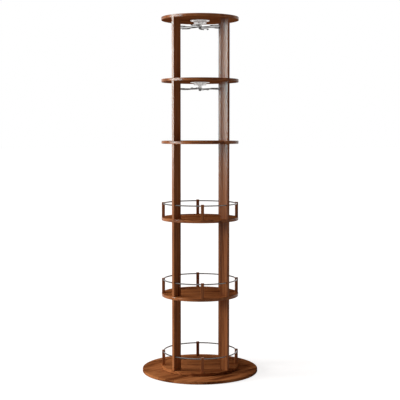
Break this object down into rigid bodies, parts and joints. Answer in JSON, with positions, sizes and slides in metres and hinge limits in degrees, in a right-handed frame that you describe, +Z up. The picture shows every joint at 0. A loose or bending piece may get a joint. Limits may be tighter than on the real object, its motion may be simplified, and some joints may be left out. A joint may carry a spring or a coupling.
{
  "type": "rotating bottle and glass tower",
  "caption": "Free-standing round walnut tower that turns on a wide base, with railed bottle trays and turning wire racks that hang stemmed glasses.",
  "frame": {"origin": "on the floor under the axis that the tower turns on", "axes": "+Z up along the turning axis, -Y towards the front, +X to the right seen from the front"},
  "size_m": [0.5999, 0.6, 1.838],
  "materials": {
    "walnut": "semi-gloss lacquer over straight walnut grain",
    "rail_metal": "polished black nickel",
    "rack_chrome": "bright chrome wire",
    "rack_satin": "satin nickel",
    "bearing_steel": "ground steel",
    "cage_plastic": "natural nylon",
    "screw_steel": "zinc plate",
    "dowel_beech": "raw beech",
    "foot_rubber": "matt"
  },
  "bodies": {
    "base": {"base_disc": "walnut", "foot_pads": "foot_rubber", "bearing_lower_ring": "bearing_steel", "bearing_lower_screws": "screw_steel"},
    "bearing_cage": {"bearing_cage": "cage_plastic", "bearing_balls": "bearing_steel"},
    "cabinet": {"turntable_disc": "walnut", "lower_bottle_tray": "walnut", "upper_bottle_tray": "walnut", "middle_shelf": "walnut", "glass_shelf": "walnut", "top_disc": "walnut", "bearing_upper_ring": "bearing_steel", "bearing_upper_screws": "screw_steel", "upright_dowels": "dowel_beech", "frame_screws": "screw_steel", "tier_1_upright_front_left": "walnut", "tier_1_upright_front_right": "walnut", "tier_1_upright_back_left": "walnut", "tier_1_upright_back_right": "walnut", "tier_2_upright_front_left": "walnut", "tier_2_upright_front_right": "walnut", "tier_2_upright_back_left": "walnut", "tier_2_upright_back_right": "walnut", "tier_3_upright_front_left": "walnut", "tier_3_upright_front_right": "walnut", "tier_3_upright_back_left": "walnut", "tier_3_upright_back_right": "walnut", "tier_4_upright_front_left": "walnut", "tier_4_upright_front_right": "walnut", "tier_4_upright_back_left": "walnut", "tier_4_upright_back_right": "walnut", "tier_5_upright_front_left": "walnut", "tier_5_upright_front_right": "walnut", "tier_5_upright_back_left": "walnut", "tier_5_upright_back_right": "walnut", "tier_1_rail_post_front": "walnut", "tier_1_rail_post_right": "walnut", "tier_1_rail_post_back": "walnut", "tier_1_rail_post_left": "walnut", "tier_2_rail_post_front": "walnut", "tier_2_rail_post_right": "walnut", "tier_2_rail_post_back": "walnut", "tier_2_rail_post_left": "walnut", "tier_3_rail_post_front": "walnut", "tier_3_rail_post_right": "walnut", "tier_3_rail_post_back": "walnut", "tier_3_rail_post_left": "walnut", "tier_1_rail_rods": "rail_metal", "tier_2_rail_rods": "rail_metal", "tier_3_rail_rods": "rail_metal", "lower_glass_rack_plate": "rack_satin", "upper_glass_rack_plate": "rack_satin", "rack_pivot_bolts": "screw_steel", "rack_retaining_nuts": "rack_chrome", "rack_plate_screws": "screw_steel"},
    "lower_rack": {"lower_glass_rack_hub": "rack_satin", "lower_glass_rack_wires": "rack_chrome"},
    "upper_rack": {"upper_glass_rack_hub": "rack_satin", "upper_glass_rack_wires": "rack_chrome"}
  },
  "joints": [
    {"name": "cabinet_spin", "type": "hinge", "parent": "base", "child": "cabinet", "pos_m": [0, 0, 0.01775], "axis": [0, 0, 1], "continuous": true},
    {"name": "bearing_cage_spin", "type": "hinge", "parent": "base", "child": "bearing_cage", "pos_m": [0, 0, 0.01775], "axis": [0, 0, 1], "continuous": true},
    {"name": "lower_rack_spin", "type": "hinge", "parent": "cabinet", "child": "lower_rack", "pos_m": [0, 0, 1.4865], "axis": [0, 0, 1], "continuous": true},
    {"name": "upper_rack_spin", "type": "hinge", "parent": "cabinet", "child": "upper_rack", "pos_m": [0, 0, 1.8035], "axis": [0, 0, 1], "continuous": true}
  ],
  "couplings": [
    {"joint": "bearing_cage_spin", "follows": "cabinet_spin", "ratio": 0.4923}
  ]
}
